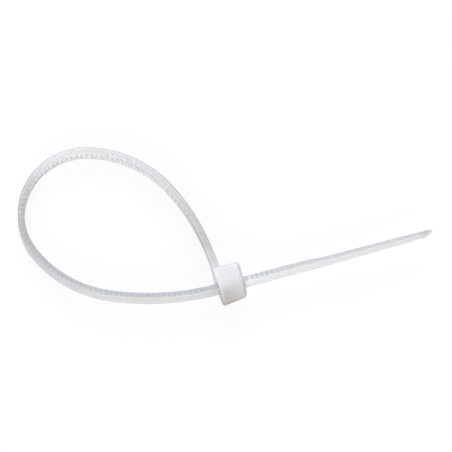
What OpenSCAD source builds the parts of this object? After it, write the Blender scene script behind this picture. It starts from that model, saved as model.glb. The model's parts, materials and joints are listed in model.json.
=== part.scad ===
// Cable tie in natural nylon, one moulding: a toothed strap that leaves the head, runs round a
// loop and comes back through the slot in the head, where a sprung pawl holds its teeth.
// The tie lies on its edge: the head's lower corner and the far side of the loop touch the surface.
// Every shape is drawn in the head's own axes and laid down at the end. There x runs through the
// slot from the entry face, y runs from the slot towards the side where the strap leaves the head,
// and z runs across the strap. The origin is on the slot's middle line, at the entry face.

/* [Strap] */
// Width of the strap
strap_w = 2.5; // [2:0.1:3]
// Thickness of the toothed strap, over its side rails
strap_t = 0.86; // [0.8:0.02:1]
// Width of the plain rail on each side of the teeth
rail_w = 0.4; // [0.3:0.05:0.5]
// Distance from one tooth to the next
tooth_pitch = 0.68; // [0.6:0.02:0.8]
// Depth of the gaps between the teeth, below the rails
tooth_gap_d = 0.42; // [0.34:0.02:0.48]
// Depth of the tooth tips below the rails
tooth_tip_d = 0.06; // [0.04:0.02:0.12]

/* [Root] */
// Length of the thick stretch where the strap leaves the head
root_l = 2; // [1.2:0.1:3]
// Extra thickness of that stretch, on its outer face
root_extra = 0.1; // [0.06:0.02:0.3]
// Length of strap without teeth next to the head
root_plain_l = 3.2; // [2.4:0.1:5]
// Radius of the fillet between the strap and the head
root_fillet = 0.45; // [0.3:0.05:0.7]

/* [Loop] */
// Radius of the round seat for the bundle, on the inner side of the strap
seat_r = 8.05; // [7.6:0.05:8.4]
// Distance of the seat's centre behind the head's entry face
seat_back = 13.55; // [12.5:0.05:15]
// Distance of the seat's centre from the slot's middle line
seat_up = 14.1; // [13.7:0.1:15]
// Direction in which the seat ends, on the side that leads to the strap's root
seat_from = 71.5; // [68:0.5:76]
// Direction in which the seat ends, on the side that leads to the slot
seat_to = 203; // [198:0.5:206]
// Radius of the strap's middle line between the seat and the stretch to its root
root_shoulder_r = 14.7; // [13.5:0.1:16]
// Radius of the strap's middle line between the seat and the stretch to the slot
slot_shoulder_r = 15.1; // [13.5:0.1:16]

/* [Tail] */
// Length of strap that sticks out of the head
tail_l = 25.3; // [20:0.5:35]
// Length of the toothed strap outside the head
tail_toothed_l = 9.4; // [6:0.1:12]
// Length over which the rails slope down to the smooth tail
tail_ramp_l = 2.4; // [1.5:0.1:3]
// How much thinner the smooth tail starts, on its inner face
tail_step = 0.18; // [0.1:0.02:0.24]
// How much thinner it is at the tip, on its outer face
tail_thin = 0.18; // [0.1:0.02:0.24]
// Width of the strap where the point of the tip starts
tip_w = 1.7; // [1.3:0.1:2]
// Length of the point of the tip
tip_l = 1.1; // [0.8:0.1:1.5]

/* [Head] */
// Thickness of the head, along the slot
head_t = 3.5; // [3.4:0.1:4.5]
// Width of the head at its entry face, across the strap
head_w = 4.6; // [4.2:0.1:5.4]
// From the slot's middle line to the head's outer end
head_out = 2.15; // [2:0.05:2.6]
// From the slot's middle line to the side where the strap leaves
head_in = 2.4; // [2.3:0.05:2.8]
// Slope of the head's sides and outer end, which makes it smaller at its exit face
head_draft = 5; // [3:0.5:7]
// How far the entry face leans in at the head's outer end
head_slant = 0.25; // [0.1:0.05:0.35]
// Radius of the two long corners at the head's outer end
head_round_out = 1.6; // [1:0.1:1.8]
// Radius of the two long corners beside the strap's root
head_round_in = 0.45; // [0.3:0.05:0.8]
// Radius of the edges round the entry face and the exit face
head_edge = 0.22; // [0.15:0.01:0.28]

/* [Slot and pawl] */
// Clearance between the strap and the slot's walls
slot_gap = 0.08; // [0.05:0.01:0.12]
// How far the slot flares at its mouth
mouth_flare = 0.22; // [0.1:0.02:0.3]
// Depth of the flared mouth
mouth_depth = 0.4; // [0.2:0.05:0.5]
// Number of teeth on the pawl
pawl_teeth = 3; // [2:1:3]
// Clearance between the pawl's teeth and the strap's teeth
pawl_mesh = 0.1; // [0.06:0.01:0.12]
// Clearance on each side of the pawl
pawl_side = 0.1; // [0.06:0.01:0.14]
// Thickness of the thin neck on which the pawl bends
pawl_neck = 0.4; // [0.3:0.02:0.44]
// Thickness of the pawl above its teeth
pawl_back = 0.72; // [0.6:0.02:0.8]
// Gap behind the pawl, into which it bends as the strap slides in
pawl_relief = 0.3; // [0.2:0.02:0.4]
// Thickness of the wall beside the slot's mouth, from which the neck springs
hinge_wall = 0.6; // [0.55:0.05:0.7]

/* [Pose] */
// Angle between the tail and the long axis of the resting tie
turn = 16; // [0:0.2:30]
// Direction in which the loop leans down to the surface, seen from the head
lean_dir = 122; // [112:1:132]

/* [Hidden] */
nylon = [0.87, 0.89, 0.9];
half_t = strap_t / 2;
half_w = strap_w / 2;
channel_w = strap_w - 2 * rail_w;
past = 1;                    // how far a cut runs past the face it opens
bury = 0.5;                  // how far the strap's root runs into the head
face_step = 0.03;            // the root's inner face lies this far behind the entry face
seat_stock = 0.03;           // stock on the rails, from which the seat is cut round
face_fn = 32;
seat_fn = 180;

// Heights across the strap's thickness, from its middle line
gap_y = half_t - tooth_gap_d;
tip_y = half_t - tooth_tip_d;

// Middle line of the strap
seat_c = [-seat_back, seat_up];
seat_mid_r = seat_r + half_t;
root_x = face_step + half_t;
function unit(a) = [cos(a), sin(a)];
function heading(v) = atan2(v[1], v[0]);
root_shoulder_c = seat_c - (root_shoulder_r - seat_mid_r) * unit(seat_from);
slot_shoulder_c = seat_c - (slot_shoulder_r - seat_mid_r) * unit(seat_to);
// Radius of the arc that leaves point p, has its centre along n from there, and runs smoothly
// into the circle of radius r about c. It is negative where that arc has to bend the other way.
function closing_r(p, n, c, r) = let (q = p - c) (r * r - q * q) / (2 * (n * q + r));
// Direction, seen from the arc's centre, in which that arc meets the circle
function join_dir(arc_c, arc_r, c, r) = heading(sign(arc_r - r) * (c - arc_c));
root_arc_r = closing_r([root_x, head_in], [-1, 0], root_shoulder_c, root_shoulder_r);
root_arc_c = [root_x - root_arc_r, head_in];
root_arc_to = join_dir(root_arc_c, root_arc_r, root_shoulder_c, root_shoulder_r);
slot_arc_r = closing_r([0, 0], [0, 1], slot_shoulder_c, slot_shoulder_r);
slot_arc_c = [0, slot_arc_r];
slot_arc_to = 360 + join_dir(slot_arc_c, slot_arc_r, slot_shoulder_c, slot_shoulder_r);
// Each arc of the loop, from the slot back to the root: centre, radius, first and last direction
arcs = [
    [slot_arc_c, slot_arc_r, 270, slot_arc_to],
    [slot_shoulder_c, slot_shoulder_r, slot_arc_to, seat_to],
    [seat_c, seat_mid_r, seat_to, seat_from],
    [root_shoulder_c, root_shoulder_r, seat_from, root_arc_to],
    [root_arc_c, root_arc_r, root_arc_to, 0]
];
function arc_length(a) = a[1] * (a[2] - a[3]) * PI / 180;
function length_before(i) = i == 0 ? 0 : length_before(i - 1) + arc_length(arcs[i - 1]);
loop_l = length_before(len(arcs));
function arc_at(g, i = 0) =
    i == len(arcs) - 1 || g <= length_before(i + 1) ? i : arc_at(g, i + 1);
function on_loop(g, off) =
    let (i = arc_at(g), a = arcs[i], dir = a[2] - (g - length_before(i)) / a[1] * 180 / PI)
    a[0] + (a[1] - off) * unit(dir);
// Point at travel s along the strap, 0 at the entry face and rising towards the tip, and at the
// distance off from the middle line, positive on the toothed side
function along(s, off) =
    s >= 0 ? [s, off] :
    s >= -loop_l ? on_loop(-s, off) :
    [root_x - off, head_in + s + loop_l];

// Travel at which things start and end
root_s = -loop_l - bury;
tip_s = head_t + tail_l;
ramp_s = head_t + tail_toothed_l - tail_ramp_l / 2;
smooth_s = ramp_s + tail_ramp_l;
first_tooth = ceil((-loop_l + root_plain_l) / tooth_pitch);
last_tooth = floor((head_t + tail_toothed_l) / tooth_pitch) - 1;
seat_first_s = -length_before(3);
seat_last_s = -length_before(2);

// Distance of the outer face and of the rails' inner face from the middle line
outer_law = [
    [-loop_l + root_l, half_t + root_extra],
    [-loop_l + root_l + root_extra, half_t],
    [smooth_s, half_t],
    [tip_s, half_t - tail_thin]
];
rail_law = [[ramp_s, half_t], [smooth_s, half_t - tail_step]];
function in_seat(s) = s > seat_first_s && s < seat_last_s;
function outer_off(s) = -lookup(s, outer_law);
function rail_off(s) = lookup(s, rail_law) + (in_seat(s) ? seat_stock : 0);

// Travel of the points that shape the plain faces: close together round the loop, and then only
// where the straight tail changes
face_pitch = tooth_pitch / 2;
loop_steps = ceil(loop_l / face_pitch);
loop_stations = [for (i = [0:loop_steps]) -loop_l + loop_l * i / loop_steps];
tail_stations = [ramp_s, smooth_s, tip_s];
stations = concat([root_s], loop_stations, tail_stations);
outer_stations = concat([root_s], [-loop_l + root_l, -loop_l + root_l + root_extra],
    [for (s = loop_stations) if (s > -loop_l + root_l + root_extra) s], tail_stations);

// Saw tooth whose steep face looks back along the strap: share of the pitch, and height
tooth_form = [[0, gap_y], [0.06, tip_y], [0.3, tip_y], [0.85, gap_y]];
function tooth_point(k, q) = [(k + q[0]) * tooth_pitch, q[1]];

module rails_outline() {
    outer = [for (s = outer_stations) along(s, outer_off(s))];
    inner = [for (i = [len(stations) - 1:-1:0]) along(stations[i], rail_off(stations[i]))];
    polygon(concat(outer, inner));
}

module toothed_outline() {
    outer = [for (s = outer_stations) along(s, outer_off(s))];
    start_s = first_tooth * tooth_pitch;
    end_s = (last_tooth + 1) * tooth_pitch;
    plain_root = [for (s = loop_stations) if (s < start_s - face_pitch) along(s, half_t)];
    teeth = [for (k = [first_tooth:last_tooth]) for (q = tooth_form)
        let (t = tooth_point(k, q)) along(t[0], min(t[1], rail_off(t[0]) - tooth_tip_d))];
    tail = [for (s = concat([end_s], [for (t = tail_stations) if (t > end_s) t]))
        along(s, rail_off(s))];
    inner = concat([along(root_s, half_t)], plain_root,
        [along(start_s - face_pitch / 2, half_t), along(start_s - face_pitch / 2, gap_y)],
        teeth, [along(end_s, gap_y)], tail);
    polygon(concat(outer, [for (i = [len(inner) - 1:-1:0]) inner[i]]));
}

// Strap of constant width: a rail, the toothed web and the other rail
module plain_strap() {
    for (side = [-1, 1])
        translate([0, 0, side * (channel_w + rail_w) / 2])
            linear_extrude(rail_w, center = true) rails_outline();
    linear_extrude(channel_w, center = true) toothed_outline();
}

// What is cut from each side of the tail to narrow it and to point its tip
module tail_side_cut() {
    point_s = tip_s - tip_l;
    nose = [for (f = [0:0.2:1]) [point_s + tip_l * f, tip_w / 2 * (1 - pow(f, 1.6))]];
    rotate([90, 0, 0])
        linear_extrude(4 * strap_t, center = true)
            polygon(concat([[smooth_s, half_w]], nose,
                [[tip_s + past, 0], [tip_s + past, half_w + past], [smooth_s, half_w + past]]));
}

module seat_cut() {
    translate([seat_c[0], seat_c[1], -half_w - past])
        cylinder(r = seat_r, h = strap_w + 2 * past, $fn = seat_fn);
}

module strap() {
    difference() {
        plain_strap();
        seat_cut();
        tail_side_cut();
        mirror([0, 0, 1]) tail_side_cut();
    }
}

// Round-edged disc that shapes one end of one of the head's long corners
module corner_disc(r) {
    rotate([0, 90, 0])
        rotate_extrude($fn = face_fn) translate([r - head_edge, 0]) circle(r = head_edge, $fn = 16);
}

module head_block() {
    drop = head_t * tan(head_draft);
    hull()
        for (exit = [0, 1]) {
            x = exit ? head_t - head_edge : head_edge;
            for (side = [-1, 1]) {
                translate([exit ? x : x + head_slant, head_round_out - head_out + exit * drop,
                           side * (head_w / 2 - head_round_out - exit * drop)])
                    corner_disc(head_round_out);
                translate([x, head_in - head_round_in,
                           side * (head_w / 2 - head_round_in - exit * drop)])
                    corner_disc(head_round_in);
            }
        }
}

// Pawl: its neck springs from the wall beside the slot's mouth and its teeth point at the exit
pawl_w = channel_w - 2 * pawl_side;
pawl_low = tip_y + pawl_mesh;
pawl_top = pawl_low + pawl_back;
chamber_top = pawl_top + pawl_relief;
pawl_first = 2;
pawl_last = pawl_first + pawl_teeth - 1;
pawl_back_off = 0.04;        // the pawl's teeth stand back this far from the steep faces

module slot_void() {
    linear_extrude(strap_w + 2 * slot_gap, center = true)
        translate([-past, -half_t - slot_gap])
            square([head_t + 2 * past, strap_t + 2 * slot_gap]);
    hull()
        for (m = [[-mouth_depth, 2 * mouth_flare], [mouth_depth, 0]])
            translate([m[0], 0, 0])
                cube([0.01, strap_t + 2 * (slot_gap + m[1]), strap_w + 2 * (slot_gap + m[1])],
                     center = true);
    linear_extrude(pawl_w + 2 * pawl_side, center = true)
        translate([hinge_wall, 0]) square([head_t - hinge_wall + past, chamber_top]);
}

module pawl() {
    lift = [-pawl_back_off, pawl_mesh];
    teeth = [for (k = [pawl_first:pawl_last])
        for (q = [[-0.7, tip_y], [-0.15, gap_y], [0, gap_y], [0.06, tip_y]]) tooth_point(k, q) + lift];
    end_x = teeth[len(teeth) - 1][0];
    nose = pawl_back / 3;
    linear_extrude(pawl_w, center = true)
        polygon(concat([[hinge_wall - nose, pawl_top - pawl_neck], [hinge_wall, pawl_top - pawl_neck]],
            teeth, [[end_x + nose, pawl_low + nose], [end_x + nose, pawl_top - nose / 2],
                    [end_x, pawl_top], [hinge_wall - nose, pawl_top]]));
}

// Fillets between the root and the head: one on the root's outer face, two beside it
module root_fillets() {
    x = face_step + strap_t + root_extra;
    y = head_in;
    arc = [for (a = [180:15:270]) root_fillet * (unit(a) + [1, 1])];
    linear_extrude(strap_w, center = true)
        translate([x, y])
            polygon(concat(arc, [[root_fillet, -bury / 2], [-bury / 2, -bury / 2],
                                 [-bury / 2, root_fillet]]));
    for (side = [0, 1])
        mirror([0, 0, side])
            translate([2 * face_step, y, half_w])
                rotate([90, 0, 90])
                    linear_extrude(x - 3 * face_step)
                        polygon([for (p = concat(arc, [[root_fillet, -bury / 2],
                                 [-bury / 2, -bury / 2], [-bury / 2, root_fillet]])) [p[1], p[0]]]);
}

module cable_tie() {
    color(nylon)
        lay_down() {
            difference() {
                head_block();
                slot_void();
            }
            pawl();
            root_fillets();
            strap();
        }
}

// Resting pose: the tie leans from the head's lower corner to the far side of the loop, and the
// origin is on the surface under the middle of its outline
corner = [0, head_in - head_round_in];
corner_low = -head_w / 2;
lean_reach = max([for (s = loop_stations) (along(s, outer_off(s)) - corner) * unit(lean_dir)]);
lean = atan((head_w / 2 - half_w) / lean_reach);
function turn_z(p, a) = [p[0] * cos(a) - p[1] * sin(a), p[0] * sin(a) + p[1] * cos(a), p[2]];
function turn_y(p, a) = [p[0] * cos(a) + p[2] * sin(a), p[1], p[2] * cos(a) - p[0] * sin(a)];
function leaned(p) =
    turn_z(turn_y(turn_z(p - [corner[0], corner[1], corner_low], -lean_dir), lean), turn + lean_dir);
reach_points = concat(
    [for (s = loop_stations) for (z = [-half_w, half_w])
        let (p = along(s, outer_off(s))) leaned([p[0], p[1], z])],
    [for (off = [outer_off(tip_s), rail_off(tip_s)]) leaned([tip_s, off, 0])],
    [for (x = [0, head_t]) for (z = [-1, 1]) leaned([x, -head_out, z * (head_w / 2 - head_round_out)])]
);
low = [for (i = [0, 1]) min([for (p = reach_points) p[i]])];
high = [for (i = [0, 1]) max([for (p = reach_points) p[i]])];

module lay_down() {
    translate([-(low[0] + high[0]) / 2, -(low[1] + high[1]) / 2, 0])
        rotate([0, 0, turn + lean_dir])
            rotate([0, lean, 0])
                rotate([0, 0, -lean_dir])
                    translate([-corner[0], -corner[1], -corner_low])
                        children();
}

cable_tie();
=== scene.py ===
"""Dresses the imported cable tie: its nylon strap, head and pawl, and a plain studio stage."""

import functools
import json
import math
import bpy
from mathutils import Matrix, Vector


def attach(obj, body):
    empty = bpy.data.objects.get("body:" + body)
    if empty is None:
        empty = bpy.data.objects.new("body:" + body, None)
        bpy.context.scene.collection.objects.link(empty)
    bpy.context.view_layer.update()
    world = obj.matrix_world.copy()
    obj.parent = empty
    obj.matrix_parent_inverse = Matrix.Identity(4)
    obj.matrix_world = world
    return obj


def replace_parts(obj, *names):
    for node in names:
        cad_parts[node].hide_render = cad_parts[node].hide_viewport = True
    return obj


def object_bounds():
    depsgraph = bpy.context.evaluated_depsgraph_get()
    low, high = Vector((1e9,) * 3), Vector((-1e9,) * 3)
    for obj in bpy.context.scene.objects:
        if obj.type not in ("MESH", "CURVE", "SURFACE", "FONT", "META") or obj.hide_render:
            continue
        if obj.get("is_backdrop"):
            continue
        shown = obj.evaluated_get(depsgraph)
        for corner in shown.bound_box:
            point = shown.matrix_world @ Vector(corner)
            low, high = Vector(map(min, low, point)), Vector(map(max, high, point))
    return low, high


bl_info = {
    "name": "Cable tie studio",
    "version": (1, 0, 0),
    "blender": (4, 5, 0),
    "location": "3D View > Sidebar > Cable tie",
    "description": "Builds a closed nylon cable tie, and the stage that it is shown on",
    "category": "Object",
}

import bmesh
import bpy
from bpy.props import FloatProperty, FloatVectorProperty, IntProperty, PointerProperty
from mathutils import Matrix, Vector

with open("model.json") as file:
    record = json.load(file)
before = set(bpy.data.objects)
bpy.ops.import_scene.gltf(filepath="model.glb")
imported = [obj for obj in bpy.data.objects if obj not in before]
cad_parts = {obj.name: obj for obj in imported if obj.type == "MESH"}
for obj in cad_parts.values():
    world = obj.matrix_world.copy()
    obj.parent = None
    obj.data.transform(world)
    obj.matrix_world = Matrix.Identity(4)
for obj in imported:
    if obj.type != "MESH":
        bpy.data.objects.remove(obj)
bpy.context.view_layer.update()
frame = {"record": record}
MM = 0.001

# Sizes of the moulding in millimetres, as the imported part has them.
# Travel runs along the strap: 0 at the head's entry face, rising towards the tip.

# Strap, and the rack that stands in the channel between its rails
STRAP_W, STRAP_T = 2.5, 0.86
HALF_W, HALF_T = STRAP_W / 2, STRAP_T / 2
RAIL_W = 0.4
CHANNEL_HALF = HALF_W - RAIL_W
PITCH = 0.68
GAP_DEPTH = 0.42
TIP_BELOW_RAIL = 0.06
GAP_OFF = HALF_T - GAP_DEPTH
TIP_OFF = HALF_T - TIP_BELOW_RAIL
# A tooth's outline: share of the pitch, and distance from the strap's middle line
TOOTH = ((0, GAP_OFF), (0.06, TIP_OFF), (0.3, TIP_OFF), (0.85, GAP_OFF))
FIRST_TOOTH, LAST_TOOTH = -96, 17
RACK_START, RACK_END = FIRST_TOOTH * PITCH, (LAST_TOOTH + 1) * PITCH

# Root, where the strap leaves the head
ROOT_L = 2.0
ROOT_EXTRA = 0.1
ROOT_FILLET = 0.45
ROOT_BURIED = 0.5
FACE_STEP = 0.03
ROOT_MID = FACE_STEP + HALF_T

# Head, which grows smaller towards its exit face
HEAD_T = 3.5
HEAD_HALF = 2.3
HEAD_OUT = 2.15
HEAD_IN = 2.4
HEAD_SLANT = 0.25
HEAD_DRAFT = 5
HEAD_DROP = HEAD_T * math.tan(math.radians(HEAD_DRAFT))

# Loop: the round seat at its far end, and the shoulders beside the seat
SEAT_C = Vector((-13.55, 14.1))
SEAT_R = 8.05
SEAT_MID_R = SEAT_R + HALF_T
SEAT_FROM, SEAT_TO = 71.5, 203.0
ROOT_SHOULDER_R, SLOT_SHOULDER_R = 14.7, 15.1

# Tail: its rails slope down to a smooth stretch
TAIL_L = 25.3
TAIL_TOOTHED_L = 9.4
TAIL_RAMP_L = 2.4
TAIL_STEP, TAIL_THIN = 0.18, 0.18
TIP_S = HEAD_T + TAIL_L
RAMP_S = HEAD_T + TAIL_TOOTHED_L - TAIL_RAMP_L / 2
SMOOTH_S = RAMP_S + TAIL_RAMP_L

# Slot, pawl and the chamber behind the pawl
SLOT_GAP = 0.08
MOUTH_FLARE, MOUTH_DEPTH = 0.22, 0.4
HINGE_WALL = 0.6
PAWL_MESH, PAWL_SIDE, PAWL_SET_BACK = 0.1, 0.1, 0.04
PAWL_NECK, PAWL_NOSE = 0.4, 0.24
PAWL_LOW = TIP_OFF + PAWL_MESH
PAWL_TOP, CHAMBER_TOP = 1.19, 1.49
PAWL_HALF = CHANNEL_HALF - PAWL_SIDE
PAWL_GAPS = (2, 3, 4)
PAWL_TOOTH = ((-0.7, TIP_OFF), (-0.15, GAP_OFF), (0.0, GAP_OFF), (0.06, TIP_OFF))

# Tip. Its rounded end and the slants on its outer and inner face are finished here
TIP_HALF, TIP_L = 0.85, 1.1
TIP_END, TIP_FALL = 0.18, 0.7
POINT_S = TIP_S - TIP_L
TIP_SLANT, TIP_SLANT_L = 0.32, 1.2
TIP_DIP, TIP_DIP_L = 0.04, 0.3

# How much the root's fillet also spreads sideways, the rounding of the rails' lips, and how far
# the middle of a rounded edge lies inside its corner, as a share of the radius
FILLET_SPREAD = 0.8
LIP = 0.03
CORNER_CUT = 0.3

# Spacing of the strap's rows, and how far the plain ones reach past the root and the ramp
FILLET_ROW, STEP_ROW, PLAIN_ROW, TAIL_ROW = 0.09, 0.1, 0.3, 0.8
ROOT_PLAIN_L, RAMP_PAST = 1.7, 0.5
CHANNEL_WALL = 0.02
TIP_ROWS = 12
# Where a plain row has the channel's four points, as shares of the channel's half width
PLAIN_SHARES = (1.05, 1.02, 1.0, 0.98)

# Facets of the rims, angles in degrees from which an edge stays sharp, how far a cut runs past
# the face it opens, and the width of the slivers that are merged after it
RIM_STEPS = 5
SHARP, SHARP_HEAD = 32, 30
PAST = 1
SLIVER = 0.002


def ray(angle):
    """Unit vector at an angle in degrees."""
    return Vector((math.cos(math.radians(angle)), math.sin(math.radians(angle))))


def heading(v):
    """Direction of a vector, in degrees."""
    return math.degrees(math.atan2(v.y, v.x))


def closing_radius(point, side, centre, radius):
    """Radius of the arc that leaves point towards side and runs smoothly into a circle."""
    q = point - centre
    return (radius**2 - q.dot(q)) / (2 * (side.dot(q) + radius))


def loop_arcs():
    """Arcs of the strap's middle line, from the slot back to the root.

    Each one has its centre, its radius, and its first and last direction.
    """
    root_c = SEAT_C - (ROOT_SHOULDER_R - SEAT_MID_R) * ray(SEAT_FROM)
    slot_c = SEAT_C - (SLOT_SHOULDER_R - SEAT_MID_R) * ray(SEAT_TO)
    start = Vector((ROOT_MID, HEAD_IN))
    root_r = closing_radius(start, Vector((-1, 0)), root_c, ROOT_SHOULDER_R)
    root_arc_c = start + root_r * Vector((-1, 0))
    slot_r = closing_radius(Vector((0, 0)), Vector((0, 1)), slot_c, SLOT_SHOULDER_R)
    slot_arc_c = Vector((0, slot_r))
    root_to = heading(root_c - root_arc_c)
    slot_to = 360 + heading(slot_c - slot_arc_c)
    return [
        (slot_arc_c, slot_r, 270.0, slot_to),
        (slot_c, SLOT_SHOULDER_R, slot_to, SEAT_TO),
        (SEAT_C, SEAT_MID_R, SEAT_TO, SEAT_FROM),
        (root_c, ROOT_SHOULDER_R, SEAT_FROM, root_to),
        (root_arc_c, root_r, root_to, 0.0),
    ]


ARCS = loop_arcs()
LOOP_L = sum(r * math.radians(a - b) for _, r, a, b in ARCS)


def along(s, off):
    """Point at travel s and at distance off from the middle line, positive on the toothed side."""
    if s >= 0:
        return Vector((s, off))
    back = -s
    for centre, radius, first, last in ARCS:
        length = radius * math.radians(first - last)
        if back <= length:
            return centre + (radius - off) * ray(first - math.degrees(back / radius))
        back -= length
    return Vector((ROOT_MID - off, HEAD_IN - back))


def pose():
    """Matrix from the head's own axes, in millimetres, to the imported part's place, in metres."""
    mounts = {m["name"]: m for m in frame["record"]["mounts"]}
    z = Vector(mounts["bundle"]["axis"]).normalized()
    x = Vector(mounts["nose_seat"]["axis"])
    x = (x - x.dot(z) * z).normalized()
    y = z.cross(x)
    origin = Vector(mounts["bundle"]["pos_m"]) - MM * (SEAT_C.x * x + SEAT_C.y * y)
    turn = Matrix((x, y, z)).transposed()
    return Matrix.Translation(origin) @ (turn * MM).to_4x4()


POSE = pose()
POSE_TURN = POSE.to_3x3().normalized()


class CableTieSizes(bpy.types.PropertyGroup):
    """Sizes that finish the moulding."""

    rail_round: FloatProperty(
        name="Rail rounding", description="Radius of the strap's long edges",
        default=0.09 * MM, min=0.02 * MM, max=0.2 * MM, unit="LENGTH",
    )
    head_corner: FloatProperty(
        name="Head corners", description="Radius of the head's outer long corners",
        default=1.6 * MM, min=0.5 * MM, max=1.7 * MM, unit="LENGTH",
    )
    head_corner_root: FloatProperty(
        name="Head corners by the strap",
        description="Radius of the long corners beside the strap's root",
        default=0.45 * MM, min=0.2 * MM, max=0.8 * MM, unit="LENGTH",
    )
    head_rim: FloatProperty(
        name="Entry rim", description="Radius round the head's face with the strap's entry",
        default=0.28 * MM, min=0.05 * MM, max=0.3 * MM, unit="LENGTH",
    )
    head_rim_exit: FloatProperty(
        name="Exit rim", description="Radius round the head's face with the strap's exit",
        default=0.38 * MM, min=0.05 * MM, max=0.42 * MM, unit="LENGTH",
    )
    round_steps: IntProperty(
        name="Rounding steps", description="Facets in each rounded corner of the head",
        default=12, min=3, max=24,
    )


class CableTieLooks(bpy.types.PropertyGroup):
    """Colours and finish of the nylon and the stage."""

    nylon: FloatVectorProperty(
        name="Nylon", description="Colour of the natural nylon",
        subtype="COLOR", size=3, min=0, max=1, default=(0.66, 0.67, 0.685),
    )
    # Warm bounce light from the floor, painted on the strap's lower edge
    nylon_floor_bounce: FloatVectorProperty(
        name="Nylon near the floor", description="Colour of the strap's lower edge",
        subtype="COLOR", size=3, min=0, max=1, default=(0.72, 0.68, 0.65),
    )
    nylon_head: FloatVectorProperty(
        name="Head nylon", description="Colour of the head outside its painted shade",
        subtype="COLOR", size=3, min=0, max=1, default=(0.86, 0.87, 0.885),
    )
    # Shade painted on the head, outward and more by the floor and by the entry
    nylon_head_shade: FloatVectorProperty(
        name="Painted head shade", description="Colour of the shade painted on the head",
        subtype="COLOR", size=3, min=0, max=1, default=(0.35, 0.315, 0.28),
    )
    # Paler colour painted as light into the shaded channel and onto the head's end faces
    nylon_painted_light: FloatVectorProperty(
        name="Nylon of the channel", description="Colour of the rack and the channel it stands in",
        subtype="COLOR", size=3, min=0, max=1, default=(0.95, 0.955, 0.96),
    )
    nylon_shade: FloatVectorProperty(
        name="Nylon in shade",
        description="Colour that shows through the rails from the gaps between the teeth",
        subtype="COLOR", size=3, min=0, max=1, default=(0.33, 0.36, 0.41),
    )
    roughness: FloatProperty(
        name="Roughness", description="Roughness of the moulded surface",
        default=0.42, min=0, max=1, subtype="FACTOR",
    )
    translucency: FloatProperty(
        name="Translucency", description="Share of the light that spreads under the surface",
        default=1.0, min=0, max=1, subtype="FACTOR",
    )
    floor: FloatVectorProperty(
        name="Floor", description="Colour of the pale floor",
        subtype="COLOR", size=3, min=0, max=1, default=(0.86, 0.86, 0.86),
    )
    back_power: FloatProperty(
        name="Lamp behind", description="Power of the soft lamp behind the loop, in watts",
        default=0.88, min=0, max=5,
    )
    front_power: FloatProperty(
        name="Lamp in front", description="Power of the soft lamp before the loop, in watts",
        default=0.9, min=0, max=5,
    )


# Meshes


def finish_piece(name, bm, materials, angle=SHARP):
    """Places a bmesh made in the head's own axes, with its object, shading and materials."""
    bmesh.ops.transform(bm, matrix=POSE, verts=bm.verts)
    bmesh.ops.recalc_face_normals(bm, faces=bm.faces)
    mesh = bpy.data.meshes.new(name)
    bm.to_mesh(mesh)
    bm.free()
    mesh.shade_smooth()
    mesh.set_sharp_from_angle(angle=math.radians(angle))
    for m in materials:
        mesh.materials.append(m)
    piece = bpy.data.objects.new(name, mesh)
    bpy.context.scene.collection.objects.link(piece)
    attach(piece, "root")
    return piece


def ease(x):
    """0 up to 0, 1 from 1 on, and a smooth rise between."""
    x = min(max(x, 0.0), 1.0)
    return x * x * (3 - 2 * x)


def law(s, points):
    """Straight lines between (travel, value) points."""
    if s <= points[0][0]:
        return points[0][1]
    for (a, va), (b, vb) in zip(points, points[1:]):
        if s <= b:
            return va + (vb - va) * (s - a) / (b - a)
    return points[-1][1]


def fillet_at(s):
    """How much the root swells where it meets the head."""
    x = (s + LOOP_L) / ROOT_FILLET
    if x >= 1:
        return 0.0
    x = max(x, 0.0)
    return ROOT_FILLET * (1 - math.sqrt(1 - (1 - x) ** 2))


def outer_at(s):
    """Place of the outer face, below the middle line. It is thicker at the root."""
    step = [
        (-LOOP_L + ROOT_L, HALF_T + ROOT_EXTRA),
        (-LOOP_L + ROOT_L + ROOT_EXTRA, HALF_T),
        (SMOOTH_S, HALF_T),
        (TIP_S, HALF_T - TAIL_THIN),
    ]
    return -law(s, step) - fillet_at(s)


def rail_at(s):
    """Place of the rails' inner face, above the middle line."""
    return law(s, [(RAMP_S, HALF_T), (SMOOTH_S, HALF_T - TAIL_STEP)])


def half_at(s):
    """Half the strap's width, which falls to the tip's rounded end."""
    if s <= POINT_S:
        return law(s, [(SMOOTH_S, HALF_W), (POINT_S, TIP_HALF)]) + FILLET_SPREAD * fillet_at(s)
    f = min((s - POINT_S) / TIP_L, 1.0)
    return TIP_END + (TIP_HALF - TIP_END) * (1 - f**2) ** TIP_FALL


def strap_rows():
    """Stations of the strap: travel, and the channel's floor, or none where it is plain."""
    rows = [(-LOOP_L - ROOT_BURIED, None)]
    wall = RACK_START - PITCH / 4
    s = -LOOP_L
    while s < wall - STEP_ROW:
        rows.append((s, None))
        if s < -LOOP_L + ROOT_FILLET:
            s += FILLET_ROW
        elif s < -LOOP_L + ROOT_PLAIN_L:
            s += PLAIN_ROW
        else:
            s += STEP_ROW
    rows += [(wall - CHANNEL_WALL, None), (wall, GAP_OFF)]
    for k in range(FIRST_TOOTH, LAST_TOOTH + 1):
        for share, off in TOOTH:
            at = (k + share) * PITCH
            rows.append((at, min(off, rail_at(at) - TIP_BELOW_RAIL)))
    rows += [(RACK_END - CHANNEL_WALL, GAP_OFF), (RACK_END, None)]
    s = RACK_END + PLAIN_ROW
    while s < POINT_S:
        rows.append((s, None))
        s += PLAIN_ROW if s < SMOOTH_S + RAMP_PAST else TAIL_ROW
    for i in range(TIP_ROWS + 1):
        rows.append((POINT_S + TIP_L * math.sin(math.pi / 2 * i / TIP_ROWS), None))
    return rows


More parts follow.
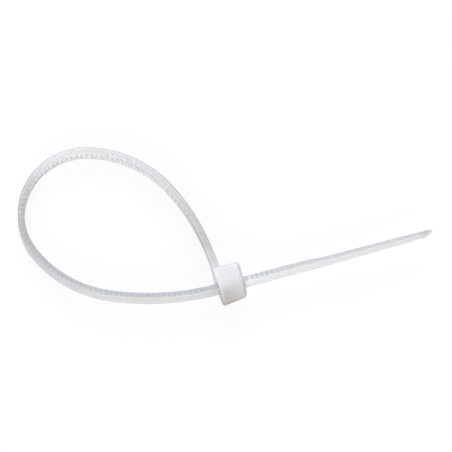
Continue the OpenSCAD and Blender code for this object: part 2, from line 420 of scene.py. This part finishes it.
def section(s, floor, rounding):
    """Ring round the strap at one station: distance from the middle line, and place across."""
    outer, inner, wide = outer_at(s), rail_at(s), half_at(s)
    outer += TIP_SLANT * ease((s - TIP_S + TIP_SLANT_L) / TIP_SLANT_L)
    inner -= TIP_DIP * ease((s - TIP_S + TIP_DIP_L) / TIP_DIP_L)
    # The rounding takes a third of a thin section at most, and a fifth of a narrow one
    r = min(rounding, (inner - outer) / 3, wide / 5)
    k = CORNER_CUT * r
    half = [
        (outer, wide - r), (outer + k, wide - k), (outer + r, wide),
        (inner - r, wide), (inner - k, wide - k), (inner, wide - r),
    ]
    channel = CHANNEL_HALF * min(wide / HALF_W, 1.0)
    if floor is None:
        half += [(inner, channel * share) for share in PLAIN_SHARES]
        middle = inner
    else:
        lip = min(LIP, (inner - floor) / 3)
        half += [
            (inner, channel + lip), (inner - lip, channel),
            (floor + lip / 2, channel), (floor, channel - lip / 2),
        ]
        middle = floor
    mirrored = [(off, -n) for off, n in reversed(half)]
    return [(outer, 0.0), *half, (middle, 0.0), *mirrored]


def build_strap(materials, rounding):
    """The strap is one section, extruded from row to row round the loop and out to the tip.

    Each point keeps its travel, height and place across, and how far it is from the faces.
    """
    bm = bmesh.new()
    lay = bm.verts.layers.float_vector.new("lay")
    rim = bm.verts.layers.float_vector.new("rim")

    def set_row(verts, s, floor):
        for v, (off, n) in zip(verts, section(s, floor, rounding)):
            v.co = along(s, off).to_3d() + Vector((0, 0, n))
            v[lay] = (s, off, n)
            v[rim] = (rail_at(s) - off, off - outer_at(s), half_at(s) - abs(n))

    rows = strap_rows()
    ring = [bm.verts.new() for _ in section(*rows[0], rounding)]
    set_row(ring, *rows[0])
    edges = [bm.edges.new((ring[j - 1], ring[j])) for j in range(len(ring))]
    bmesh.ops.contextual_create(bm, geom=edges)
    for s, floor in rows[1:]:
        made = bmesh.ops.extrude_edge_only(bm, edges=edges)["geom"]
        fresh = {v for v in made if isinstance(v, bmesh.types.BMVert)}
        ring = [next(e.other_vert(v) for e in v.link_edges if e.other_vert(v) in fresh)
                for v in ring]
        edges = [e for e in made
                 if isinstance(e, bmesh.types.BMEdge) and all(v in fresh for v in e.verts)]
        set_row(ring, s, floor)
    bmesh.ops.contextual_create(bm, geom=edges)
    return finish_piece("strap", bm, materials)


def boxed(low, high):
    """A bmesh box between two corners."""
    bm = bmesh.new()
    for v in bmesh.ops.create_cube(bm, size=1)["verts"]:
        for i in range(3):
            v.co[i] = low[i] if v.co[i] < 0 else high[i]
    return bm


def round_edges(bm, edges, radius, steps):
    """Rounds edges with a number of facets."""
    bmesh.ops.bevel(bm, geom=edges, offset=radius, offset_type="OFFSET", segments=steps,
                    profile=0.5, affect="EDGES", material=-1)


def cut(piece, cutter_bm):
    """Takes a cutter's shape out of a piece and applies it."""
    bmesh.ops.recalc_face_normals(cutter_bm, faces=cutter_bm.faces)
    bmesh.ops.transform(cutter_bm, matrix=POSE, verts=cutter_bm.verts)
    mesh = bpy.data.meshes.new("cutter")
    cutter_bm.to_mesh(mesh)
    cutter_bm.free()
    cutter = bpy.data.objects.new("cutter", mesh)
    bpy.context.scene.collection.objects.link(cutter)
    mod = piece.modifiers.new("cut", "BOOLEAN")
    mod.operation, mod.solver, mod.object = "DIFFERENCE", "EXACT", cutter
    shape = piece.evaluated_get(bpy.context.evaluated_depsgraph_get())
    done = bpy.data.meshes.new_from_object(shape)
    piece.modifiers.remove(mod)
    old = piece.data
    done.name = old.name
    piece.data = done
    bpy.data.meshes.remove(old)
    bpy.data.objects.remove(cutter)
    bpy.data.meshes.remove(mesh)


def close_seams(piece):
    """Merges the slivers that the cuts leave."""
    bm = bmesh.new()
    bm.from_mesh(piece.data)
    bmesh.ops.remove_doubles(bm, verts=bm.verts, dist=SLIVER * MM)
    bmesh.ops.dissolve_degenerate(bm, edges=bm.edges, dist=SLIVER * MM)
    bm.to_mesh(piece.data)
    bm.free()


def head_block(sizes):
    """The head before it is cut: a block that narrows to its exit, with corners and rims round."""
    bm = boxed((0, -1, -1), (1, 1, 1))
    for v in bm.verts:
        exit_end, root_side, side = v.co.x > 0.5, v.co.y > 0, 1 if v.co.z > 0 else -1
        drop = HEAD_DROP if exit_end else 0
        v.co = (
            HEAD_T if exit_end else 0 if root_side else HEAD_SLANT,
            HEAD_IN if root_side else -HEAD_OUT + drop,
            side * (HEAD_HALF - drop),
        )
    long_edges = [e for e in bm.edges if abs(e.verts[0].co.x - e.verts[1].co.x) > HEAD_T / 2]
    outer = [e for e in long_edges if e.verts[0].co.y < 0]
    inner = [e for e in long_edges if e.verts[0].co.y > 0]
    round_edges(bm, outer, sizes.head_corner / MM, sizes.round_steps)
    round_edges(bm, inner, sizes.head_corner_root / MM, sizes.round_steps // 2)
    ends = sorted(bm.faces, key=lambda f: abs(f.normal.x))[-2:]
    entry, leave = sorted(ends, key=lambda f: f.calc_center_median().x)
    round_edges(bm, list(entry.edges), sizes.head_rim / MM, RIM_STEPS)
    round_edges(bm, list(leave.edges), sizes.head_rim_exit / MM, RIM_STEPS)
    return bm


def build_head(materials, sizes):
    """The head with its slot, the slot's flared mouth and the chamber for the pawl."""
    head = finish_piece("head", head_block(sizes), materials, SHARP_HEAD)
    high, wide = HALF_T + SLOT_GAP, HALF_W + SLOT_GAP
    cut(head, boxed((-PAST, -high, -wide), (HEAD_T + PAST, high, wide)))
    mouth = boxed((-MOUTH_DEPTH, -high, -wide), (MOUTH_DEPTH, high, wide))
    for v in mouth.verts:
        if v.co.x < 0:
            v.co.y += math.copysign(2 * MOUTH_FLARE, v.co.y)
            v.co.z += math.copysign(2 * MOUTH_FLARE, v.co.z)
    cut(head, mouth)
    cut(head, boxed((HINGE_WALL, 0, -CHANNEL_HALF), (HEAD_T + PAST, CHAMBER_TOP, CHANNEL_HALF)))
    close_seams(head)
    head.data.set_sharp_from_angle(angle=math.radians(SHARP_HEAD))
    return head


def build_pawl(materials):
    """The sprung tongue inside the head, whose teeth point at the exit."""
    hinge, neck = HINGE_WALL - PAWL_NOSE, PAWL_TOP - PAWL_NECK
    teeth = [((k + share) * PITCH - PAWL_SET_BACK, off + PAWL_MESH)
             for k in PAWL_GAPS for share, off in PAWL_TOOTH]
    end = teeth[-1][0]
    nose = [(end + PAWL_NOSE, PAWL_LOW + PAWL_NOSE), (end + PAWL_NOSE, PAWL_TOP - PAWL_NOSE / 2)]
    outline = [(hinge, neck), (HINGE_WALL, neck), *teeth, *nose, (end, PAWL_TOP),
               (hinge, PAWL_TOP)]
    bm = bmesh.new()
    verts = [bm.verts.new((x, y, -PAWL_HALF)) for x, y in outline]
    edges = [bm.edges.new((verts[j - 1], verts[j])) for j in range(len(verts))]
    face = bmesh.ops.contextual_create(bm, geom=edges)["faces"]
    grown = bmesh.ops.extrude_face_region(bm, geom=face)["geom"]
    top = [v for v in grown if isinstance(v, bmesh.types.BMVert)]
    bmesh.ops.translate(bm, vec=(0, 0, 2 * PAWL_HALF), verts=top)
    return finish_piece("pawl", bm, materials)


# Materials


class Nodes:
    """Short hand for a material's node tree."""

    def __init__(self, material):
        material.use_nodes = True
        self.tree = material.node_tree
        self.tree.nodes.clear()

    def add(self, kind, links=None, **values):
        """A new node, with its own settings as values and its sockets linked or set."""
        node = self.tree.nodes.new(kind)
        for key, value in values.items():
            setattr(node, key, value)
        for key, value in (links or {}).items():
            if isinstance(value, bpy.types.NodeSocket):
                self.tree.links.new(value, node.inputs[key])
            else:
                node.inputs[key].default_value = value
        return node

    def math(self, operation, a, b=0.0, c=0.0):
        return self.add("ShaderNodeMath", {0: a, 1: b, 2: c}, operation=operation).outputs[0]

    def times(self, *values):
        """All values multiplied."""
        return functools.reduce(lambda a, b: self.math("MULTIPLY", a, b), values)

    def smooth(self, value, none, full):
        """0 where value is at none, 1 where it is at full, and a smooth change between."""
        node = self.add("ShaderNodeMapRange", {"Value": value, "From Min": none, "From Max": full},
                        interpolation_type="SMOOTHSTEP")
        return node.outputs["Result"]

    def ramp(self, value, tones):
        """Grey that runs through (value, share) points."""
        low, high = tones[0][0], tones[-1][0]
        where = self.add("ShaderNodeMapRange", {"Value": value, "From Min": low, "From Max": high})
        node = self.add("ShaderNodeValToRGB", {"Fac": where.outputs["Result"]})
        points = node.color_ramp.elements
        for at, _ in tones[1:-1]:
            points.new((at - low) / (high - low))
        for point, (at, share) in zip(points, tones):
            point.position = (at - low) / (high - low)
            point.color = (share, share, share, 1.0)
        return node.outputs["Color"]

    def blend(self, factor, a, b, kind="MIX"):
        """Colour a with a share of colour b mixed in, or multiplied."""
        node = self.add("ShaderNodeMix", data_type="RGBA", blend_type=kind)
        for socket, value in zip((node.inputs[0], node.inputs[6], node.inputs[7]), (factor, a, b)):
            if isinstance(value, bpy.types.NodeSocket):
                self.tree.links.new(value, socket)
            else:
                socket.default_value = value
        return node.outputs[2]

    def choose(self, factor, a, b, output):
        """Mixes two shaders and gives the mix to the surface."""
        mixed = self.add("ShaderNodeMixShader", {0: factor, 1: a.outputs[0], 2: b.outputs[0]})
        self.add(output, {"Surface": mixed.outputs[0]})

    def measures(self, name):
        """The three numbers that each point of a piece carries under a name."""
        vector = self.add("ShaderNodeAttribute", attribute_name=name).outputs["Vector"]
        return self.add("ShaderNodeSeparateXYZ", {0: vector}).outputs


def rgba(colour):
    return (*colour, 1.0)


def own_axes(nodes):
    """Object coordinates turned into the head's own axes, in millimetres."""
    at = nodes.add("ShaderNodeTexCoord").outputs["Object"]
    turned = nodes.add(
        "ShaderNodeMapping",
        {"Vector": at, "Location": POSE.translation, "Rotation": POSE_TURN.to_euler(),
         "Scale": (MM, MM, MM)},
        vector_type="TEXTURE")
    return turned.outputs["Vector"]


# Moulded surface: broad flow marks and a fine grain, with their spread of roughness and height
FLOW = {"Scale": 0.55, "Detail": 3.0, "Roughness": 0.5}
GRAIN = {"Scale": 9.0, "Detail": 2.0, "Roughness": 0.6}
FLOW_ROUGHNESS = 0.16
FLOW_HEIGHT = 2.0
FLOW_EDGE = (0.3, 0.7)
FLOW_PALE, FLOW_PALE_SHARE = (0.8, 0.8, 0.8, 1.0), 0.05
BUMP_STRENGTH, BUMP_DEPTH = 0.12, 0.02
NYLON_IOR = 1.53
# How far light spreads inside: by colour, and in millimetres in each piece
LIGHT_SPREAD = (1.0, 1.0, 0.95)
STRAP_SPREAD, HEAD_SPREAD = 2.0, 0.8


def nylon_shader(nodes, looks, colour, place, spread):
    """Moulded nylon: a soft sheen over faint flow marks, and light that spreads inside."""
    flow = nodes.add("ShaderNodeTexNoise", {"Vector": place, **FLOW}).outputs["Fac"]
    grain = nodes.add("ShaderNodeTexNoise", {"Vector": place, **GRAIN}).outputs["Fac"]
    rough = nodes.math("MULTIPLY_ADD", flow, FLOW_ROUGHNESS, looks.roughness - FLOW_ROUGHNESS / 2)
    height = nodes.math("MULTIPLY_ADD", flow, FLOW_HEIGHT, grain)
    bump = nodes.add("ShaderNodeBump", {
        "Height": height, "Strength": BUMP_STRENGTH, "Distance": BUMP_DEPTH * MM})
    pale = nodes.math("MULTIPLY", nodes.smooth(flow, *FLOW_EDGE), FLOW_PALE_SHARE)
    shader = nodes.add("ShaderNodeBsdfPrincipled", {
        "Base Color": nodes.blend(pale, colour, FLOW_PALE), "Roughness": rough,
        "Normal": bump.outputs["Normal"], "IOR": NYLON_IOR,
        "Subsurface Weight": looks.translucency, "Subsurface Radius": LIGHT_SPREAD,
        "Subsurface Scale": spread * MM})
    nodes.add("ShaderNodeOutputMaterial", {"Surface": shader.outputs[0]})


# Painted light and shade along the strap, as a share of its colour at each travel in millimetres.
# It is paler beside the head, where the head shades the strap.
STRAP_LIGHT_AND_SHADE = (
    (-71, 1.45), (-69.3, 1.3), (-68.2, 1.0), (-66, 0.84), (-62, 0.83), (-57, 0.94), (-52, 0.99),
    (-45, 0.99), (-39, 1.16), (-34, 0.94), (-28, 0.79), (-22, 0.76), (-14, 0.83), (-3, 0.84),
    (-0.5, 0.78), (3.5, 1.35), (5, 1.0), (7, 0.98), (12, 0.95), (16, 0.90), (26.5, 0.84),
    (28.4, 0.6),
)

# Marks on the strap, in millimetres: painted shade and light, a painted floor bounce, a dull tint.
# Each pair says where a mark is absent and where it is full.
# By travel along the strap
RACK_BLUR = 0.1
BY_HEAD = (-44.0, -28.0)
FAR_FROM_HEAD = (-18.0, -32.0)
COMB_OFF_HEAD = (0.8, 2.4)
COMB_TAIL = (15.0, 3.0)
OUTER_LINE_ROOT = (-67.6, -66.4)
OUTER_SKIN_TAIL = (3.0, 0.0)
DOTS_FAR = (-38.0, -46.0)
TEETH_FAR = (-42.0, -52.0)
CHANNEL_ROOT = (-66.0, -54.0)
DULL_ROOT = (-52.0, -60.0)
DULL_MIDDLE, DULL_REACH = -31.0, (8.0, 3.0)
# By height from the middle line, and by place across
CHANNEL_HIGH, CHANNEL_ASIDE = (-0.3, -0.1), (CHANNEL_HALF + 0.04, CHANNEL_HALF - 0.02)
DOTS_HIGH, DOTS_ACROSS = (GAP_OFF + 0.16, GAP_OFF + 0.04), (-0.4, -0.7)
TEETH_HIGH, TEETH_ACROSS = (GAP_OFF + 0.02, GAP_OFF + 0.14), (-0.75, -0.35)
BOUNCE_LOW, BOUNCE_ACROSS = (-0.2, -0.4), (0.4, -1.25)
# By distance from the strap's faces
EDGE_FACE = (0.12, 0.02)
INNER_SHADE = (0.8, 0.1)
INNER_LINE = (0.26, 0.08)
OUTER_LINE = (0.24, 0.08)
OUTER_SKIN = (0.12, 0.02)
COMB_EDGE = (-0.12, 0.1)
# By share of the pitch: the gap is deepest just before each steep face
GAP_SHARE, COMB_SHARE = (0.25, 0.8), (0.2, 0.6)
# What a mark's pair is multiplied by, and what is added
GAP_REACH = (0.5, 0.25)
DOTS_REACH = (0.7, 0.3)
TEETH_REACH = (0.8, 0.2)
# How strong each painted shade mark is in the shaded colour, in the order in which they are laid
# on
MARK_WEIGHTS = {
    "inner_shade": 0.4, "comb_shade": 0.4, "inner_shade_line": 0.5, "outer_shade_line": 0.8, "gap_dot_shade": 0.5,
    "teeth": 0.5, "outer_face_shade": 0.16,
}
BOUNCE_WEIGHT = 0.5
DULL_TINT = (1.0, 0.985, 0.965, 1.0)


def strap_nylon(looks):
    """Nylon of the strap. Painted shade gives its clear edges dark ticks for the rack inside,
    and dark lines along its faces.

    The ticks show on the stretch by the head, and the outer line on the far one.
    """
    material = bpy.data.materials.new("strap_nylon")
    nodes = Nodes(material)
    smooth, times = nodes.smooth, nodes.times
    travel, high, across = nodes.measures("lay")
    from_inner, from_outer, from_edge = nodes.measures("rim")
    aside = nodes.math("ABSOLUTE", across)
    from_head = nodes.math("ABSOLUTE", travel)
    from_dull = nodes.math("ABSOLUTE", nodes.math("SUBTRACT", travel, DULL_MIDDLE))
    share = nodes.math("FRACT", nodes.math("DIVIDE", travel, PITCH))

    toothed = times(smooth(travel, RACK_START - RACK_BLUR, RACK_START + RACK_BLUR),
                    smooth(travel, RACK_END + RACK_BLUR, RACK_END - RACK_BLUR))
    channel = times(smooth(aside, *CHANNEL_ASIDE), smooth(high, *CHANNEL_HIGH), toothed)
    edge_face = smooth(from_edge, *EDGE_FACE)
    by_head = smooth(travel, *BY_HEAD)
    gap = nodes.math("MULTIPLY_ADD", smooth(share, *GAP_SHARE), *GAP_REACH)
    dot_shade_reach = nodes.math("MULTIPLY_ADD", smooth(travel, *DOTS_FAR), *DOTS_REACH)
    teeth_shade_reach = nodes.math("MULTIPLY_ADD", smooth(travel, *TEETH_FAR), *TEETH_REACH)
    marks = {
        "inner_shade": times(smooth(from_inner, *INNER_SHADE), edge_face, by_head),
        # Painted shade: dark ticks on the top edge where the rack's gaps lie inside
        "comb_shade": times(
            smooth(nodes.math("SUBTRACT", gap, from_inner), *COMB_EDGE),
            smooth(share, *COMB_SHARE), toothed, edge_face, by_head,
            smooth(from_head, *COMB_OFF_HEAD), smooth(travel, *COMB_TAIL)),
        # Painted shade: a dark line along the inner edge by the head, and along the outer edge far
        # from it
        "inner_shade_line": times(smooth(from_inner, *INNER_LINE), edge_face, by_head),
        "outer_shade_line": times(
            smooth(from_outer, *OUTER_LINE), edge_face, smooth(travel, *FAR_FROM_HEAD),
            smooth(travel, *OUTER_LINE_ROOT)),
        # Painted shade: dark dots deep in the rack's lowest gaps, and darker tooth crests above
        # them
        "gap_dot_shade": times(channel, smooth(across, *DOTS_ACROSS), smooth(high, *DOTS_HIGH), dot_shade_reach),
        "teeth": times(
            channel, smooth(high, *TEETH_HIGH), smooth(across, *TEETH_ACROSS), teeth_shade_reach),
        # Painted shade over the outer face, round the loop but not on the tail
        "outer_face_shade": times(smooth(from_outer, *OUTER_SKIN), smooth(travel, *OUTER_SKIN_TAIL)),
    }
    # Painted floor bounce: a warm tint low on the outer face, towards the floor
    painted_bounce = times(smooth(across, *BOUNCE_ACROSS), smooth(high, *BOUNCE_LOW))
    dull = nodes.math("MAXIMUM", smooth(travel, *DULL_ROOT), smooth(from_dull, *DULL_REACH))

    # The strap's colour times its painted light and shade along the travel
    colour = nodes.blend(1.0, rgba(looks.nylon), nodes.ramp(travel, STRAP_LIGHT_AND_SHADE), "MULTIPLY")
    colour = nodes.blend(times(painted_bounce, BOUNCE_WEIGHT), colour, rgba(looks.nylon_floor_bounce))
    # Painted light pales the rack and its shaded channel, fading out towards the root
    pale = times(channel, smooth(travel, *CHANNEL_ROOT))
    colour = nodes.blend(pale, colour, rgba(looks.nylon_painted_light))
    # Each mark lays painted shade over the colour
    for name, weight in MARK_WEIGHTS.items():
        colour = nodes.blend(times(marks[name], weight), colour, rgba(looks.nylon_shade))
    colour = nodes.blend(dull, colour, DULL_TINT, "MULTIPLY")
    nylon_shader(nodes, looks, colour, own_axes(nodes), STRAP_SPREAD)
    return material


# Marks on the head, in millimetres along the slot (x), away from the root (y) and across (z).
# Each pair says where a mark is absent and where it is full.
OUTWARD_Y = (0.6, -2.2)
BY_ENTRY_X = (3.6, 0.2)
BY_FLOOR_Z = (2.3, -1.0)
ENTRY_FACE_X = (0.2, 0.04)
EXIT_FACE_X = (HEAD_T - 0.05, HEAD_T - 0.01)
EXIT_RIM_X, EXIT_RIM_END_X = (HEAD_T - 0.5, HEAD_T - 0.15), (HEAD_T, HEAD_T - 0.1)
ROOT_RIM_Y = (HEAD_IN - 0.4, HEAD_IN - 0.1)
# How strong the painted shade is: at least, and more by the floor and by the entry
SHADE_LEAST, SHADE_FLOOR, SHADE_ENTRY = 0.4, 0.4, 0.3
# How strong the shade is on the exit's rim, at least and more outward, and on the root's side
RIM_LEAST, RIM_OUTWARD, RIM_ROOT = 0.4, 0.3, 0.35


def head_nylon(looks):
    """Nylon of the head, darkened and warmed outward by painted shade."""
    material = bpy.data.materials.new("head_nylon")
    nodes = Nodes(material)
    smooth, times = nodes.smooth, nodes.times
    place = own_axes(nodes)
    x, y, z = nodes.add("ShaderNodeSeparateXYZ", {0: place}).outputs
    outward = smooth(y, *OUTWARD_Y)
    head_shade = nodes.math("MULTIPLY_ADD", smooth(z, *BY_FLOOR_Z), SHADE_FLOOR, SHADE_LEAST)
    head_shade = nodes.math("MULTIPLY_ADD", smooth(x, *BY_ENTRY_X), SHADE_ENTRY, head_shade)
    # Painted light on the head's entry and exit faces, where they lie in shade
    end_face_light = nodes.math("MAXIMUM", smooth(x, *ENTRY_FACE_X), smooth(x, *EXIT_FACE_X))
    rim_strength = nodes.math("MULTIPLY_ADD", outward, RIM_OUTWARD, RIM_LEAST)
    exit_rim = times(smooth(x, *EXIT_RIM_X), smooth(x, *EXIT_RIM_END_X), rim_strength)
    rims = nodes.math("MAXIMUM", exit_rim, times(smooth(y, *ROOT_RIM_Y), RIM_ROOT))

    # Painted shade darkens and warms the head outward, more by the floor and by the entry
    colour = nodes.blend(times(outward, head_shade), rgba(looks.nylon_head), rgba(looks.nylon_head_shade))
    colour = nodes.blend(end_face_light, colour, rgba(looks.nylon_painted_light))
    colour = nodes.blend(rims, colour, rgba(looks.nylon_shade))
    nylon_shader(nodes, looks, colour, place, HEAD_SPREAD)
    return material


def made_once(name, maker, looks):
    """The material of that name, made when it is first needed."""
    return bpy.data.materials.get(name) or maker(looks)


# Operators


class MESH_OT_cable_tie_strap(bpy.types.Operator):
    """Build the toothed strap with its root and tail"""

    bl_idname = "mesh.cable_tie_strap"
    bl_label = "Add the strap"

    def execute(self, context):
        scene = context.scene
        strap = build_strap([made_once("strap_nylon", strap_nylon, scene.cable_tie_looks)],
                            scene.cable_tie_sizes.rail_round / MM)
        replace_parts(strap, "cable_tie")
        return {"FINISHED"}


class MESH_OT_cable_tie_head(bpy.types.Operator):
    """Build the slotted head and the pawl inside it"""

    bl_idname = "mesh.cable_tie_head"
    bl_label = "Add the head and pawl"

    def execute(self, context):
        scene = context.scene
        material = made_once("head_nylon", head_nylon, scene.cable_tie_looks)
        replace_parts(build_head([material], scene.cable_tie_sizes), "cable_tie")
        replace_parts(build_pawl([material]), "cable_tie")
        return {"FINISHED"}


# Camera, placed against the strap's own plane as the photograph shows it: it looks down steeply
# from a long way off. Angles are in degrees, the target in millimetres, the distance in metres
# and the scale in pixels to a millimetre.
VIEW_TARGET = Vector((3.366, 7.927, 0.0))
VIEW_RISE = 72.88
VIEW_ROLL = 0.86
VIEW_TURN = 16.44
VIEW_DISTANCE = 1.5
VIEW_SCALE = 7.75
VIEW_CLIP = (0.01, 10.0)
SENSOR_W = 36.0
FRAME_PX = 452


def add_camera(scene):
    rise, roll = math.radians(VIEW_RISE), math.radians(VIEW_ROLL)
    ahead = Vector((0, math.cos(rise), -math.sin(rise)))
    level, upright = Vector((1, 0, 0)), Vector((0, math.sin(rise), math.cos(rise)))
    right = math.cos(roll) * level + math.sin(roll) * upright
    up = math.cos(roll) * upright - math.sin(roll) * level
    turn = POSE_TURN @ Matrix.Rotation(-math.radians(VIEW_TURN), 3, "Z")
    axes = Matrix((turn @ right, turn @ up, turn @ -ahead)).transposed()
    place = POSE @ VIEW_TARGET - VIEW_DISTANCE * (turn @ ahead)
    data = bpy.data.cameras.new("camera")
    data.sensor_width = SENSOR_W
    data.lens = VIEW_SCALE / MM * VIEW_DISTANCE * data.sensor_width / FRAME_PX
    data.clip_start, data.clip_end = VIEW_CLIP
    camera = bpy.data.objects.new("camera", data)
    camera.matrix_world = Matrix.Translation(place) @ axes.to_4x4()
    scene.collection.objects.link(camera)
    scene.camera = camera


# Stage, in metres. A strength of 1 shows as white.
WHITE = (1, 1, 1, 1)
FLOOR_HALF = 3.0
FLOOR_GAP = 0.02 * MM
FLOOR_WHITE, FLOOR_WHITE_SHARE = 1.06, 0.8
FILL_COLOUR, FILL_STRENGTH = (0.97, 0.98, 1.0, 1), 0.58
LAMP_SIZE = 0.3
LAMP_BEHIND_AT, LAMP_BEHIND_COLOUR = (-0.04, 0.36, 0.22), (1.0, 1.0, 1.0)
LAMP_FRONT_AT, LAMP_FRONT_COLOUR = (-0.04, -0.37, 0.16), (1.0, 0.98, 0.96)


def pale_floor(looks):
    """White to the camera, and in gloss; it keeps the object's shadow."""
    material = bpy.data.materials.new("pale_floor")
    nodes = Nodes(material)
    path = nodes.add("ShaderNodeLightPath").outputs
    shine = nodes.math("MAXIMUM", path["Is Glossy Ray"], path["Is Transmission Ray"])
    seen = nodes.math("MAXIMUM", path["Is Camera Ray"], shine)
    matt = nodes.add("ShaderNodeBsdfDiffuse", {"Color": rgba(looks.floor)})
    white = nodes.add("ShaderNodeEmission", {"Color": WHITE, "Strength": FLOOR_WHITE})
    nodes.choose(nodes.math("MULTIPLY", seen, FLOOR_WHITE_SHARE), matt, white,
                 "ShaderNodeOutputMaterial")
    return material


def add_floor(scene, looks):
    bm = bmesh.new()
    bmesh.ops.create_grid(bm, x_segments=1, y_segments=1, size=FLOOR_HALF)
    mesh = bpy.data.meshes.new("floor")
    bm.to_mesh(mesh)
    bm.free()
    mesh.materials.append(pale_floor(looks))
    floor = bpy.data.objects.new("floor", mesh)
    floor.location.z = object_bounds()[0].z - FLOOR_GAP
    scene.collection.objects.link(floor)
    floor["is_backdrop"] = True


def studio_world(scene):
    """White to the camera, and a soft fill for the object."""
    world = bpy.data.worlds.new("studio")
    scene.world = world
    nodes = Nodes(world)
    path = nodes.add("ShaderNodeLightPath").outputs
    soft = nodes.add("ShaderNodeBackground", {"Color": FILL_COLOUR, "Strength": FILL_STRENGTH})
    white = nodes.add("ShaderNodeBackground", {"Color": WHITE, "Strength": 1.0})
    nodes.choose(path["Is Camera Ray"], soft, white, "ShaderNodeOutputWorld")


def add_lamp(scene, name, place, power, colour):
    """A square soft lamp that points at the tie."""
    data = bpy.data.lights.new(name, "AREA")
    data.shape, data.size, data.energy, data.color = "SQUARE", LAMP_SIZE, power, colour
    lamp = bpy.data.objects.new(name, data)
    lamp.location = place
    lamp.rotation_euler = (-Vector(place)).to_track_quat("-Z", "Y").to_euler()
    scene.collection.objects.link(lamp)


class SCENE_OT_cable_tie_stage(bpy.types.Operator):
    """Set up the camera, the soft lamps and the pale floor"""

    bl_idname = "scene.cable_tie_stage"
    bl_label = "Add the stage"

    def execute(self, context):
        scene = context.scene
        looks = scene.cable_tie_looks
        add_camera(scene)
        add_floor(scene, looks)
        studio_world(scene)
        add_lamp(scene, "lamp_behind", LAMP_BEHIND_AT, looks.back_power, LAMP_BEHIND_COLOUR)
        add_lamp(scene, "lamp_in_front", LAMP_FRONT_AT, looks.front_power, LAMP_FRONT_COLOUR)
        scene.view_settings.view_transform = "Standard"
        return {"FINISHED"}


class VIEW3D_PT_cable_tie(bpy.types.Panel):
    """Sizes, colours and pieces of the cable tie"""

    bl_label = "Cable tie"
    bl_space_type = "VIEW_3D"
    bl_region_type = "UI"
    bl_category = "Cable tie"

    def draw(self, context):
        layout = self.layout
        for group in (context.scene.cable_tie_sizes, context.scene.cable_tie_looks):
            column = layout.column()
            for name in group.__annotations__:
                column.prop(group, name)
        for operator in OPERATORS:
            layout.operator(operator.bl_idname)


OPERATORS = (MESH_OT_cable_tie_strap, MESH_OT_cable_tie_head, SCENE_OT_cable_tie_stage)
CLASSES = (CableTieSizes, CableTieLooks, *OPERATORS, VIEW3D_PT_cable_tie)


def register():
    for c in CLASSES:
        bpy.utils.register_class(c)
    bpy.types.Scene.cable_tie_sizes = PointerProperty(type=CableTieSizes)
    bpy.types.Scene.cable_tie_looks = PointerProperty(type=CableTieLooks)


def unregister():
    del bpy.types.Scene.cable_tie_looks
    del bpy.types.Scene.cable_tie_sizes
    for c in reversed(CLASSES):
        bpy.utils.unregister_class(c)


def main():
    register()
    bpy.ops.mesh.cable_tie_strap()
    bpy.ops.mesh.cable_tie_head()
    bpy.ops.scene.cable_tie_stage()


if __name__ == "__main__":
    main()
